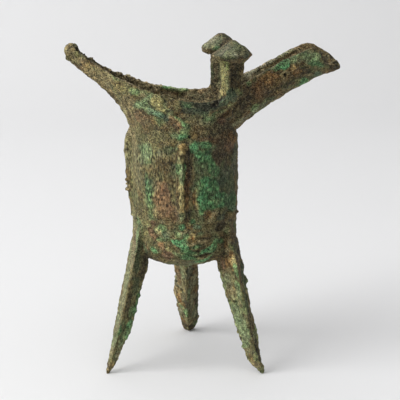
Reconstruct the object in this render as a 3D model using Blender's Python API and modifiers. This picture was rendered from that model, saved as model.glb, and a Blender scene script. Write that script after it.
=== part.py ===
"""Bronze jue, an ancient three-legged wine cup cast in one piece.

A round cup with a raised band stands on three triangular legs. Its mouth runs out
into a channel-shaped spout on +X and a pointed tail on -X, and two capped posts
stand on the rim where the spout begins. The handle is on the +Y side, over the
rear leg. All sizes are in metres. The model is drawn about the cup's own axis and
then set with the middle of its box over the origin, standing on the ground.
"""
import math

import bmesh
import bpy
from mathutils import Matrix, Vector

# The cup, measured about its own axis. NECK_HEIGHT is where the mouth starts to flare.
NECK_HEIGHT = 0.1380
CUP_RADIUS = 0.0296
CUP_DEPTH = 0.0780
WALL = 0.0026
BOTTOM_ROUNDING = 0.0150
BOTTOM_SQUARENESS = 2.3

# The raised band round the cup, which ends a little under the neck.
BAND_RAISE = 0.0007
BAND_HEIGHT = 0.0460
BAND_TOP_DROP = 0.0030
BAND_EDGE = 0.0004

# The mouth: reaches are from the cup's axis, rises are above the neck.
MOUTH_HALF_WIDTH = 0.0292
MOUTH_LOW_RISE = 0.0186
SPOUT_REACH = 0.0893
SPOUT_HALF_WIDTH = 0.0127
SPOUT_CREST_REACH = 0.0720
SPOUT_CREST_RISE = 0.0468
SPOUT_CREST_ANGLE = 21.0
SPOUT_LIP_RISE = 0.0331
SPOUT_BELLY = 0.0078
SPOUT_BELLY_ANGLE = 15.0
TAIL_REACH = 0.0662
TAIL_RISE = 0.0480
TAIL_DEPTH = 0.0074
TAIL_KEEL_HALF_WIDTH = 0.0026
TAIL_SOLID = 0.0055
TAIL_KNOB_RADIUS = 0.0045

# Where the wall bends between neck and rim. Under the tail the bend lies at these
# shares of the way out, across and up, and it takes over between the two neck angles.
TAIL_BEND = (0.08, 0.30, 0.36)
FLARE_BLEND = (60.0, 120.0)

# The worn corner at the end of the spout's near wall. Its outline has shares of the
# way from the crest out to the lip and down to it; the cut stops short of the middle.
CHIP_OUTLINE = ((0.05, 0.08), (0.40, 0.72), (1.20, 0.98), (1.20, -0.60), (0.05, -0.60))
CHIP_SIDES = (-1.5, -0.25)

# The two posts with their pointed caps, on the rim at the root of the spout.
POST_REACH = 0.0238
POST_OFFSET = 0.0245
POST_WIDTH = 0.0114
POST_THICKNESS = 0.0080
POST_TURN = 32.0
POST_EDGE = 0.0008
POST_WAIST = 0.96
POST_ROOT_SHARE = 0.625
POST_ROOT_THINNING = 0.15
CAP_RADIUS = 0.0113
CAP_HEIGHT = 0.0119
CAP_TOP_RISE = 0.0520
CAP_SEAT = 0.7

# A cap's outline from its tip round to its underside: shares of its radius and height.
CAP_OUTLINE = (
    (0.0, 0.0), (0.16, 0.02), (0.55, 0.30), (0.95, 0.61),
    (1.0, 0.71), (0.94, 0.78), (0.58, 1.0), (0.0, 1.0),
)
CAP_SEGMENTS = 24

# The legs: triangular bars that splay from the cup to the feet and bend at the knee.
CLOCK_ANGLE = -5.8
FOOT_CIRCLE = 0.0518
LEG_HIP_HEIGHT = 0.0600
LEG_TOP_HEIGHT = 0.0900
LEG_HIP_REACH = 0.0362
LEG_KNEE_HEIGHT = 0.0260
LEG_KNEE_REACH = 0.0446
LEG_ANKLE_HEIGHT = 0.0080
LEG_TOP_TAPER = 0.20
LEG_SHOULDER_TAPER = 0.95

# Each leg's place about the axis, the turn of its section, how far its foot leans
# sideways, and the side of its triangle at the hip, the knee, the ankle and the foot.
LEGS = {
    "left": (210.0, -10.0, 0.0, (0.0128, 0.0105, 0.0056, 0.0024)),
    "right": (330.0, 18.0, 0.0, (0.0156, 0.0114, 0.0090, 0.0024)),
    "rear": (90.0, 0.0, 0.0018, (0.0152, 0.0150, 0.0120, 0.0072)),
}

# The nose ridge of the mask on the front, and the seam fin under the tail.
NOSE_ANGLE = 262.0
NOSE_RADIUS = 0.0024
NOSE_RAISE = 0.0004
NOSE_BOW = 2.5
NOSE_TOP_DROP = 0.0025
NOSE_LENGTH = 0.0450
FIN_RADIUS = 0.0032
FIN_RAISE = 0.0016
FIN_TOP_RISE = 0.0020
FIN_LENGTH = 0.0520

# How they run, from the top: share of the length, share of the radius, and then
# the share of the bow for the nose and of the raise for the fin.
NOSE_OUTLINE = (
    (0.0, 0.35, 0.0), (0.06, 0.8, 0.4), (0.22, 1.0, 0.9), (0.5, 1.05, 1.0),
    (0.75, 1.0, 0.8), (0.9, 1.15, 0.4), (0.97, 0.9, 0.1), (1.0, 0.3, 0.0),
)
FIN_OUTLINE = (
    (0.0, 0.4, 0.1), (0.11, 0.9, 0.6), (0.27, 1.0, 1.0), (0.42, 0.95, 0.5),
    (0.54, 0.9, 0.65), (0.68, 0.85, 0.45), (0.78, 0.7, 0.1), (1.0, 0.5, 0.0),
)

# The strap handle over the rear leg.
HANDLE_REACH = 0.0185
HANDLE_WIDTH = 0.0090
HANDLE_THICKNESS = 0.0034
HANDLE_TOP_DROP = 0.0070
HANDLE_HEIGHT = 0.0360
HANDLE_ROUNDING = (0.6, 0.8)

# How finely the curved surfaces are divided.
KEY_STEPS = 2
BOTTOM_STEPS = 6
FLARE_STEPS = 8
HANDLE_STEPS = 12
LID_CLEARANCE = 0.0150
KEEL_CLEARANCE = 0.1
SMOOTH_ANGLE = 35.0

# The rim, from the lip of the spout round to the tip of the tail. Each row has the
# angle on the neck that the rim point grows from, and how far along it lies, how wide
# and how high. From lip to crest: shares of the spout's reach and half-width, and of
# the climb from its lip to its crest.
LIP_ROWS = (
    (8, 0.97, 0.50, 0.42),
    (15, 0.885, 0.86, 0.82),
)
# From crest to post: shares of the way back out to the crest, of the widening from the
# spout to the mouth, and of the climb from the low side of the rim to the crest.
SPOUT_WALL_ROWS = (
    (28, 0.72, 0.01, 0.79),
    (36, 0.44, 0.02, 0.55),
    (46, 0.24, 0.15, 0.37),
)
# Along the sides: shares of the cup's radius and of the mouth's half-width, and of
# the same climb.
SIDE_ROWS = (
    (58, 0.92, 0.72, 0.22),
    (72, 0.72, 0.88, 0.11),
    (88, 0.40, 0.985, 0.015),
    (102, 0.00, 1.00, 0.02),
)
# Up the tail: shares of its reach, of the mouth's half-width, and of the climb from the
# low side to the tip. The last row lies beside the keel, with shares of the tail's
# reach and depth.
TAIL_ROWS = (
    (116, 0.18, 0.90, 0.09),
    (130, 0.375, 0.725, 0.235),
    (142, 0.56, 0.52, 0.405),
    (153, 0.735, 0.32, 0.62),
    (161, 0.89, 0.185, 0.865),
    (168, 0.975, 0.135, 0.985),
)
TAIL_KEEL_ROW = (174, 0.995, 0.10)


def rim_keys():
    """Rim points from lip to tail tip: neck angle, x, half-width and height."""
    neck = NECK_HEIGHT
    keys = [(0, SPOUT_REACH, 0.0, neck + SPOUT_LIP_RISE)]
    crest_drop = SPOUT_CREST_RISE - SPOUT_LIP_RISE
    for angle, along, wide, high in LIP_ROWS:
        x = SPOUT_REACH * along
        keys.append((angle, x, SPOUT_HALF_WIDTH * wide, neck + SPOUT_LIP_RISE + crest_drop * high))
    keys.append((SPOUT_CREST_ANGLE, SPOUT_CREST_REACH, SPOUT_HALF_WIDTH, neck + SPOUT_CREST_RISE))
    climb = SPOUT_CREST_RISE - MOUTH_LOW_RISE
    for angle, along, wide, high in SPOUT_WALL_ROWS:
        x = POST_REACH + (SPOUT_CREST_REACH - POST_REACH) * along
        width = SPOUT_HALF_WIDTH + (MOUTH_HALF_WIDTH - SPOUT_HALF_WIDTH) * wide
        keys.append((angle, x, width, neck + MOUTH_LOW_RISE + climb * high))
    for angle, along, wide, high in SIDE_ROWS:
        x = CUP_RADIUS * along
        keys.append((angle, x, MOUTH_HALF_WIDTH * wide, neck + MOUTH_LOW_RISE + climb * high))
    climb = TAIL_RISE - MOUTH_LOW_RISE
    for angle, along, wide, high in TAIL_ROWS:
        x = -TAIL_REACH * along
        keys.append((angle, x, MOUTH_HALF_WIDTH * wide, neck + MOUTH_LOW_RISE + climb * high))
    keel = neck + TAIL_RISE - TAIL_DEPTH
    angle, along, high = TAIL_KEEL_ROW
    keys.append((angle, -TAIL_REACH * along, TAIL_KEEL_HALF_WIDTH, keel + TAIL_DEPTH * high))
    keys.append((180, -TAIL_REACH, 0.0, keel))
    return keys


def mirrored(key):
    """The same rim point on the other side of the spout's axis."""
    angle, x, width, height = key
    return (-angle, x, -width, height)


def spline(before, start, end, after, t):
    """Catmull-Rom value between start and end."""
    return 0.5 * (
        2 * start
        + (end - before) * t
        + (2 * before - 5 * start + 4 * end - after) * t ** 2
        + (3 * start - before - 3 * end + after) * t ** 3
    )


def rim_points():
    """The whole rim as a loop of (neck angle, point), from the lip round by +Y."""
    keys = rim_keys()
    tail = keys[-1]
    past_tail = (360 - keys[-2][0], keys[-2][1], -keys[-2][2], keys[-2][3])
    padded = [mirrored(keys[1])] + keys + [past_tail]
    half = []
    for i in range(1, len(keys)):
        for step in range(KEY_STEPS):
            t = step / KEY_STEPS
            half.append([spline(*values, t) for values in zip(*padded[i - 1:i + 3])])
    half.append(list(tail))
    other = [mirrored(point) for point in reversed(half[1:-1])]
    return [(math.radians(a), Vector((x, width, z))) for a, x, width, z in half + other]


def flare_column(angle, rim):
    """Points of the wall from the neck up to one point of the rim."""
    neck = Vector((CUP_RADIUS * math.cos(angle), CUP_RADIUS * math.sin(angle), NECK_HEIGHT))
    degrees = abs(math.degrees(angle))
    belly = SPOUT_BELLY * math.cos(math.pi / 2 * min(1.0, degrees / SPOUT_BELLY_ANGLE))
    spout_bend = (neck + rim) / 2 + Vector((0, 0, belly))
    tail_bend = neck + Vector([(end - start) * share for start, end, share in zip(neck, rim, TAIL_BEND)])
    start, end = FLARE_BLEND
    share = min(1.0, max(0.0, (degrees - start) / (end - start)))
    bend = spout_bend.lerp(tail_bend, share * share * (3 - 2 * share))
    points = []
    for step in range(FLARE_STEPS + 1):
        t = step / FLARE_STEPS
        points.append(neck * (1 - t) ** 2 + bend * 2 * t * (1 - t) + rim * t ** 2)
    return points


def cup_profile(band_raise):
    """Radius and height up the cup, from near the middle of its underside to the neck."""
    underside = NECK_HEIGHT - CUP_DEPTH
    power = 2 / BOTTOM_SQUARENESS
    profile = []
    for step in range(1, BOTTOM_STEPS + 1):
        turn = math.pi / 2 * step / BOTTOM_STEPS
        radius = CUP_RADIUS * math.sin(turn) ** power
        height = underside + BOTTOM_ROUNDING * (1 - math.cos(turn) ** power)
        profile.append((radius, height))
    top = NECK_HEIGHT - BAND_TOP_DROP
    bottom = top - BAND_HEIGHT
    profile += [
        (CUP_RADIUS, bottom - BAND_EDGE),
        (CUP_RADIUS + band_raise, bottom),
        (CUP_RADIUS + band_raise, top),
        (CUP_RADIUS, top + BAND_EDGE),
    ]
    return profile


def vessel_rings(band_raise):
    """Rings of the cup and its mouth, from the underside up to the rim."""
    rim = rim_points()
    rings = []
    for radius, height in cup_profile(band_raise):
        ring = [Vector((radius * math.cos(a), radius * math.sin(a), height)) for a, _ in rim]
        rings.append(ring)
    columns = [flare_column(angle, point) for angle, point in rim]
    for step in range(FLARE_STEPS + 1):
        rings.append([column[step] for column in columns])
    return rings


def add_rings(bm, rings):
    """Faces between neighbouring rings, and a flat face on the first one."""
    loops = [[bm.verts.new(point) for point in ring] for ring in rings]
    count = len(rings[0])
    for lower, upper in zip(loops, loops[1:]):
        for i in range(count):
            j = (i + 1) % count
            bm.faces.new((lower[i], lower[j], upper[j], upper[i]))
    bm.faces.new(reversed(loops[0]))
    return loops


def add_lid(bm, loop):
    """Strips across the mouth, each level from one side to the other."""
    count = len(loop)
    half = count // 2
    bm.faces.new((loop[0], loop[1], loop[-1]))
    for i in range(1, half - 1):
        bm.faces.new((loop[i], loop[i + 1], loop[count - i - 1], loop[count - i]))
    bm.faces.new((loop[half - 1], loop[half], loop[half + 1]))


def finish_mesh(bm, name, collection):
    """Turn a bmesh into a smooth-shaded object in the collection."""
    bmesh.ops.recalc_face_normals(bm, faces=bm.faces)
    mesh = bpy.data.meshes.new(name)
    bm.to_mesh(mesh)
    bm.free()
    mesh.shade_smooth()
    mesh.set_sharp_from_angle(angle=math.radians(SMOOTH_ANGLE))
    obj = bpy.data.objects.new(name, mesh)
    collection.objects.link(obj)
    return obj


def make_outer(collection):
    """The vessel's outer form as a solid, closed straight across the mouth."""
    bm = bmesh.new()
    loops = add_rings(bm, vessel_rings(BAND_RAISE))
    add_lid(bm, loops[-1])
    return finish_mesh(bm, "jue_vessel", collection)


def make_cavity(collection):
    """The hollow: the same form a wall's thickness further in, open above the rim."""
    bm = bmesh.new()
    loops = add_rings(bm, vessel_rings(0.0))
    bm.normal_update()
    moves = [(vert, vert.normal * WALL * vert.calc_shell_factor()) for vert in bm.verts]
    for vert, move in moves:
        inner = vert.co - move
        # Close to the keel a point would cross to the other side.
        if inner.y * vert.co.y < 0:
            inner.y = KEEL_CLEARANCE * vert.co.y
        vert.co = inner
    top = [bm.verts.new(vert.co + Vector((0, 0, LID_CLEARANCE))) for vert in loops[-1]]
    count = len(top)
    for i in range(count):
        j = (i + 1) % count
        bm.faces.new((loops[-1][i], loops[-1][j], top[j], top[i]))
    add_lid(bm, top)
    geometry = bm.verts[:] + bm.edges[:] + bm.faces[:]
    end = (TAIL_SOLID - TAIL_REACH, 0, 0)
    cut = bmesh.ops.bisect_plane(bm, geom=geometry, plane_co=end, plane_no=(-1, 0, 0), clear_outer=True)
    edges = [item for item in cut["geom_cut"] if isinstance(item, bmesh.types.BMEdge)]
    bmesh.ops.contextual_create(bm, geom=edges)
    return finish_mesh(bm, "cavity_cutter", collection)


def make_loft(name, rings, collection):
    """A closed solid through rings of equally many points."""
    bm = bmesh.new()
    loops = add_rings(bm, rings)
    bm.faces.new(loops[-1])
    return finish_mesh(bm, name, collection)


def leg_ring(reach, lean, height, side, turn):
    """A triangle with one flat side outward, reach away from the axis."""
    inset = side / (2 * math.sqrt(3))
    spin = Matrix.Rotation(math.radians(turn), 3, "Z")
    ring = []
    for corner in (60, 180, 300):
        arm = Vector((math.cos(math.radians(corner)), math.sin(math.radians(corner)), 0))
        ring.append(spin @ (arm * side / math.sqrt(3)) + Vector((reach - inset, lean, height)))
    return ring


def make_leg(name, collection):
    """One leg, from inside the cup's wall down to its small flat foot."""
    angle, turn, lean, (hip, knee, ankle, foot) = LEGS[name]
    thigh_slope = (LEG_HIP_REACH - LEG_KNEE_REACH) / (LEG_HIP_HEIGHT - LEG_KNEE_HEIGHT)
    shin_slope = (LEG_KNEE_REACH - FOOT_CIRCLE) / LEG_KNEE_HEIGHT
    shoulder = (LEG_HIP_HEIGHT + LEG_TOP_HEIGHT) / 2
    rings = []
    for height, side in (
        (LEG_TOP_HEIGHT, LEG_TOP_TAPER * hip), (shoulder, LEG_SHOULDER_TAPER * hip), (LEG_HIP_HEIGHT, hip),
        (LEG_KNEE_HEIGHT, knee), (LEG_ANKLE_HEIGHT, ankle), (0.0, foot),
    ):
        above_knee = height - LEG_KNEE_HEIGHT
        slope = thigh_slope if above_knee > 0 else shin_slope
        sideways = -lean * (1 - height / LEG_TOP_HEIGHT) ** 2
        rings.append(leg_ring(LEG_KNEE_REACH + slope * above_knee, sideways, height, side, turn))
    leg = make_loft(f"{name}_leg", rings, collection)
    leg.rotation_euler.z = math.radians(angle + CLOCK_ANGLE)
    return leg


def rounded_rectangle(length, width, corner):
    """Eight points round a rectangle with cut corners."""
    x = length / 2
    y = width / 2
    return [
        (x, y - corner), (x - corner, y), (corner - x, y), (-x, y - corner),
        (-x, corner - y), (corner - x, -y), (x - corner, -y), (x, corner - y),
    ]


def make_post(side, collection):
    """A post that grows out of the wall under the rim, its broad face outward."""
    turn = Matrix.Rotation(math.radians(-side * POST_TURN), 3, "Z")
    foot = Vector((POST_REACH, side * POST_OFFSET, NECK_HEIGHT + MOUTH_LOW_RISE))
    columns = [flare_column(angle, point) for angle, point in rim_points()]
    wall = min(columns, key=lambda column: (column[-1] - foot).length)
    foot.z = wall[-1].z
    root = wall[round(FLARE_STEPS * POST_ROOT_SHARE)]
    root -= Vector((root.x, root.y, 0)).normalized() * WALL / 2
    top = foot.copy()
    top.z = NECK_HEIGHT + CAP_TOP_RISE - CAP_SEAT * CAP_HEIGHT
    rings = []
    for centre, wide, thick in (
        (root, POST_WAIST, POST_ROOT_THINNING), (foot, 1.0, 1.0),
        ((foot + top) / 2, POST_WAIST, POST_WAIST), (top, 1.0, 1.0),
    ):
        outline = rounded_rectangle(POST_WIDTH * wide, POST_THICKNESS * thick, POST_EDGE * thick)
        rings.append([centre + turn @ Vector((x, y, 0)) for x, y in outline])
    return make_loft("far_post" if side > 0 else "near_post", rings, collection)


def make_cap(side, collection):
    """A turned cap: a cone with a soft tip, its underside sloping back to the post."""
    top = NECK_HEIGHT + CAP_TOP_RISE
    mesh = bpy.data.meshes.new("cap_profile")
    points = [(CAP_RADIUS * out, 0, -CAP_HEIGHT * down) for out, down in CAP_OUTLINE]
    mesh.from_pydata(points, [(i, i + 1) for i in range(len(points) - 1)], [])
    cap = bpy.data.objects.new("far_cap" if side > 0 else "near_cap", mesh)
    collection.objects.link(cap)
    cap.location = (POST_REACH, side * POST_OFFSET, top)
    screw = cap.modifiers.new("turned", "SCREW")
    screw.axis = "Z"
    screw.steps = CAP_SEGMENTS
    screw.render_steps = CAP_SEGMENTS
    screw.use_merge_vertices = True
    screw.merge_threshold = 0.00005
    screw.use_smooth_shade = True
    return cap


def make_tube(name, spine, collection):
    """A closed round bar through (point, radius) pairs."""
    curve = bpy.data.curves.new(name, "CURVE")
    curve.dimensions = "3D"
    curve.bevel_depth = 1.0
    curve.bevel_resolution = 2
    curve.use_fill_caps = True
    line = curve.splines.new("POLY")
    line.points.add(len(spine) - 1)
    for target, (point, radius) in zip(line.points, spine):
        target.co = (*point, 1.0)
        target.radius = radius
    guide = bpy.data.objects.new(f"{name}_curve", curve)
    collection.objects.link(guide)
    evaluated = guide.evaluated_get(bpy.context.evaluated_depsgraph_get())
    mesh = bpy.data.meshes.new_from_object(evaluated)
    bm = bmesh.new()
    bm.from_mesh(mesh)
    bmesh.ops.remove_doubles(bm, verts=bm.verts, dist=0.000001)
    tube = finish_mesh(bm, name, collection)
    tube.matrix_world = guide.matrix_world
    bpy.data.objects.remove(guide)
    return tube


def make_nose(collection):
    """The nose ridge: a slightly bowed bar half sunk in the band, with a bulb below."""
    top = NECK_HEIGHT - NOSE_TOP_DROP
    spine = []
    for along, thick, bow in NOSE_OUTLINE:
        angle = math.radians(NOSE_ANGLE - NOSE_BOW * bow)
        reach = CUP_RADIUS + BAND_RAISE + NOSE_RAISE * thick
        point = (reach * math.cos(angle), reach * math.sin(angle), top - NOSE_LENGTH * along)
        spine.append((point, NOSE_RADIUS * thick))
    return make_tube("nose_ridge", spine, collection)


def make_fin(collection):
    """The seam fin that runs down the cup under the tail, uneven and worn."""
    top = NECK_HEIGHT + FIN_TOP_RISE
    spine = []
    for along, thick, proud in FIN_OUTLINE:
        reach = CUP_RADIUS + FIN_RAISE * proud
        point = (-reach, 0, top - FIN_LENGTH * along)
        spine.append((point, FIN_RADIUS * thick))
    return make_tube("seam_fin", spine, collection)


def make_handle(collection):
    """The strap handle: an upright loop with both ends sunk in the wall."""
    middle = NECK_HEIGHT - HANDLE_TOP_DROP - HANDLE_HEIGHT / 2
    root = CUP_RADIUS - WALL / 2
    reach = CUP_RADIUS + HANDLE_REACH - HANDLE_THICKNESS / 2 - root
    rise = (HANDLE_HEIGHT - HANDLE_THICKNESS) / 2
    round_out, round_up = HANDLE_ROUNDING
    rings = []
    for step in range(HANDLE_STEPS + 1):
        turn = math.pi * (step / HANDLE_STEPS - 0.5)
        out = math.cos(turn) ** round_out
        up = math.copysign(abs(math.sin(turn)) ** round_up, turn)
        across = Vector((math.cos(turn), 0, math.sin(turn)))
        centre = Vector((root + reach * out, 0, middle + rise * up))
        ring = []
        for u, v in ((1, 1), (1, -1), (-1, -1), (-1, 1)):
            side = Vector((0, v * HANDLE_WIDTH / 2, 0))
            ring.append(centre + across * u * HANDLE_THICKNESS / 2 + side)
        rings.append(ring)
    handle = make_loft("handle", rings, collection)
    handle.rotation_euler.z = math.radians(90 + CLOCK_ANGLE)
    return handle


def make_knob(collection):
    """The rounded lump that closes the tip of the tail."""
    bm = bmesh.new()
    bmesh.ops.create_uvsphere(bm, u_segments=14, v_segments=9, radius=TAIL_KNOB_RADIUS)
    knob = finish_mesh(bm, "tail_knob", collection)
    drop = TAIL_DEPTH / 2
    knob.location = (drop - TAIL_REACH, 0, NECK_HEIGHT + TAIL_RISE - drop)
    return knob


def make_chip(collection):
    """The cutter that takes the worn corner off the spout's near wall."""
    run = SPOUT_REACH - SPOUT_CREST_REACH
    fall = SPOUT_CREST_RISE - SPOUT_LIP_RISE
    crest = NECK_HEIGHT + SPOUT_CREST_RISE
    outline = [(SPOUT_CREST_REACH + run * along, crest - fall * down) for along, down in CHIP_OUTLINE]
    rings = [[Vector((x, side * SPOUT_HALF_WIDTH, z)) for x, z in outline] for side in CHIP_SIDES]
    return make_loft("chip_cutter", rings, collection)


def make_bronze():
    """Dull, corroded bronze."""
    material = bpy.data.materials.new("bronze")
    material.use_nodes = True
    shader = material.node_tree.nodes["Principled BSDF"]
    shader.inputs["Base Color"].default_value = (0.16, 0.15, 0.085, 1.0)
    shader.inputs["Roughness"].default_value = 0.75
    shader.inputs["Metallic"].default_value = 0.35
    return material


def combine(target, helper, operation):
    """Join the helper to the target, or cut it away."""
    helper.hide_render = True
    helper.display_type = "WIRE"
    boolean = target.modifiers.new(helper.name, "BOOLEAN")
    boolean.operation = operation
    boolean.solver = "EXACT"
    boolean.object = helper


def stand_over_origin(vessel, stand):
    """Move the stand so that the vessel's box is centred over the origin, feet on the ground."""
    bpy.context.view_layer.update()
    evaluated = vessel.evaluated_get(bpy.context.evaluated_depsgraph_get())
    corners = [Vector(vert.co) for vert in evaluated.to_mesh().vertices]
    low = [min(corner[axis] for corner in corners) for axis in range(3)]
    high = [max(corner[axis] for corner in corners) for axis in range(3)]
    evaluated.to_mesh_clear()
    stand.location = (-(low[0] + high[0]) / 2, -(low[1] + high[1]) / 2, -low[2])


def main():
    for obj in list(bpy.data.objects):
        bpy.data.objects.remove(obj)
    parts = bpy.data.collections.new("bronze_jue")
    cutters = bpy.data.collections.new("cutters")
    bpy.context.scene.collection.children.link(parts)
    bpy.context.scene.collection.children.link(cutters)

    vessel = make_outer(parts)
    vessel.data.materials.append(make_bronze())
    before_hollowing = [make_leg(name, cutters) for name in LEGS]
    before_hollowing += [make_nose(cutters), make_fin(cutters), make_handle(cutters)]
    hollowing = [make_cavity(cutters), make_chip(cutters)]
    after_hollowing = [make_knob(cutters)]
    for side in (1, -1):
        after_hollowing += [make_post(side, cutters), make_cap(side, cutters)]

    for helper in before_hollowing:
        combine(vessel, helper, "UNION")
    for helper in hollowing:
        combine(vessel, helper, "DIFFERENCE")
    for helper in after_hollowing:
        combine(vessel, helper, "UNION")

    stand = bpy.data.objects.new("stand", None)
    bpy.context.scene.collection.objects.link(stand)
    for obj in [vessel] + list(cutters.objects):
        obj.parent = stand
    stand_over_origin(vessel, stand)


main()
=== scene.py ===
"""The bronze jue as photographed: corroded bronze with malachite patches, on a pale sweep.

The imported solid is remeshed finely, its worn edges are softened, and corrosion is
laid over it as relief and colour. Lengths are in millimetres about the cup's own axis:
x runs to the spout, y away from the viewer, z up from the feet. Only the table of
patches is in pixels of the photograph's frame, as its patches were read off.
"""
import math

import bmesh
import bpy
import numpy as np
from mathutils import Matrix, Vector, kdtree
from mathutils.bvhtree import BVHTree


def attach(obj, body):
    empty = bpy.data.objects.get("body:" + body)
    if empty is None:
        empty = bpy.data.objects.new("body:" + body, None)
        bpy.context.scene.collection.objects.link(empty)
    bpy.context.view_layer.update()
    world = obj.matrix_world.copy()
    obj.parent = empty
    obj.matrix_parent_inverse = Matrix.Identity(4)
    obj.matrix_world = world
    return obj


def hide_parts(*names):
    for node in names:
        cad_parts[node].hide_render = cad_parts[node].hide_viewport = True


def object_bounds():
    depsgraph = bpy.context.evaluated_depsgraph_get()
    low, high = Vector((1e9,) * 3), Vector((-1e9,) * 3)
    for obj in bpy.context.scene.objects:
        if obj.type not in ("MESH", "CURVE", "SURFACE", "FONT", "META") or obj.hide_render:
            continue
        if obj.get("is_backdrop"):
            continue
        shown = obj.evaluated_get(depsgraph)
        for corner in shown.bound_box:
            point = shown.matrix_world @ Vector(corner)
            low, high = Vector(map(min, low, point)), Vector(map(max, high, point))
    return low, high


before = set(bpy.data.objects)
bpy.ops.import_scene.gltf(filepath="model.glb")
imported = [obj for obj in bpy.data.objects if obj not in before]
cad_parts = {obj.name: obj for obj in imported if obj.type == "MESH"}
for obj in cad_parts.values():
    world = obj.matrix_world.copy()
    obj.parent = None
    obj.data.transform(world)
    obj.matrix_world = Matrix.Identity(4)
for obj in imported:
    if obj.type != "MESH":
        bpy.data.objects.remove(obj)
cad_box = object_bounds()

MM = 0.001
CUP_AXIS = Vector((-11.24, -7.958, 0.0))
RIM = 156.6

# What the surface is made of: base colour, how far it stands out in millimetres, and
# how crusty it is. Rows without a colour only shape the surface.
PIGMENTS = {
    "olive": ((0.138, 0.122, 0.059), 0.0, 0.5),
    "tan": ((0.215, 0.174, 0.096), 0.10, 0.6),
    "straw": ((0.205, 0.190, 0.088), 0.10, 0.6),
    "pale_straw": ((0.345, 0.300, 0.150), 0.15, 0.6),
    "ochre": ((0.300, 0.215, 0.095), 0.15, 0.8),
    "brown": ((0.100, 0.070, 0.032), 0.0, 0.7),
    "rust_brown": ((0.175, 0.095, 0.038), 0.05, 0.8),
    "rust": ((0.220, 0.085, 0.022), -0.2, 0.8),
    "red": ((0.140, 0.080, 0.048), -0.10, 0.7),
    "light_red": ((0.215, 0.130, 0.070), 0.0, 0.7),
    "dark_red": ((0.066, 0.044, 0.027), -0.05, 0.6),
    "umber": ((0.058, 0.047, 0.027), -0.10, 0.9),
    "black": ((0.026, 0.023, 0.016), -0.25, 0.9),
    "mint": ((0.150, 0.205, 0.110), 0.12, 0.6),
    "pale_green": ((0.140, 0.215, 0.098), 0.15, 0.7),
    "green": ((0.068, 0.172, 0.075), 0.22, 1.0),
    "bright": ((0.084, 0.230, 0.108), 0.25, 1.0),
    "teal": ((0.080, 0.130, 0.082), 0.10, 0.6),
    "dark_teal": ((0.046, 0.064, 0.042), 0.0, 0.5),
    "moss": ((0.064, 0.082, 0.043), 0.05, 0.7),
    "lime": ((0.165, 0.215, 0.065), 0.10, 0.5),
    "grey": ((0.150, 0.152, 0.100), 0.0, 0.6),
    "pale_grey": ((0.270, 0.250, 0.190), 0.05, 0.5),
    "celadon": ((0.215, 0.250, 0.145), 0.05, 0.5),
    "slate": ((0.072, 0.084, 0.058), 0.0, 0.6),
    "pit": ((0.018, 0.016, 0.011), -0.9, 0.3),
    "crack": ((0.022, 0.018, 0.012), -0.8, 0.3),
    "hollow": ((0.034, 0.028, 0.019), -0.5, 0.6),
    "groove": ((0.075, 0.057, 0.033), -0.3, 0.5),
    # ash: a pale crust tone, made lighter than the crust to lift the shaded inner walls where
    # it mostly lies, so partly painted light.
    "ash": ((0.360, 0.300, 0.200), 0.0, 1.2),
    "khaki": ((0.190, 0.175, 0.105), 0.0, 0.5),
    "crease": (None, -0.6, 0.0),
    "boss": (None, 1.1, 0.0),
    "hollow_out": (None, -0.6, None),
    "swell": (None, 0.6, 0.0),
    "ridge": (None, 0.6, 0.0),
}
LINING = (0.220, 0.174, 0.110)
FLECK = (0.15, 0.13, 0.08)
PAINT_GAIN = (1.17, 1.18, 1.03)
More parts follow.
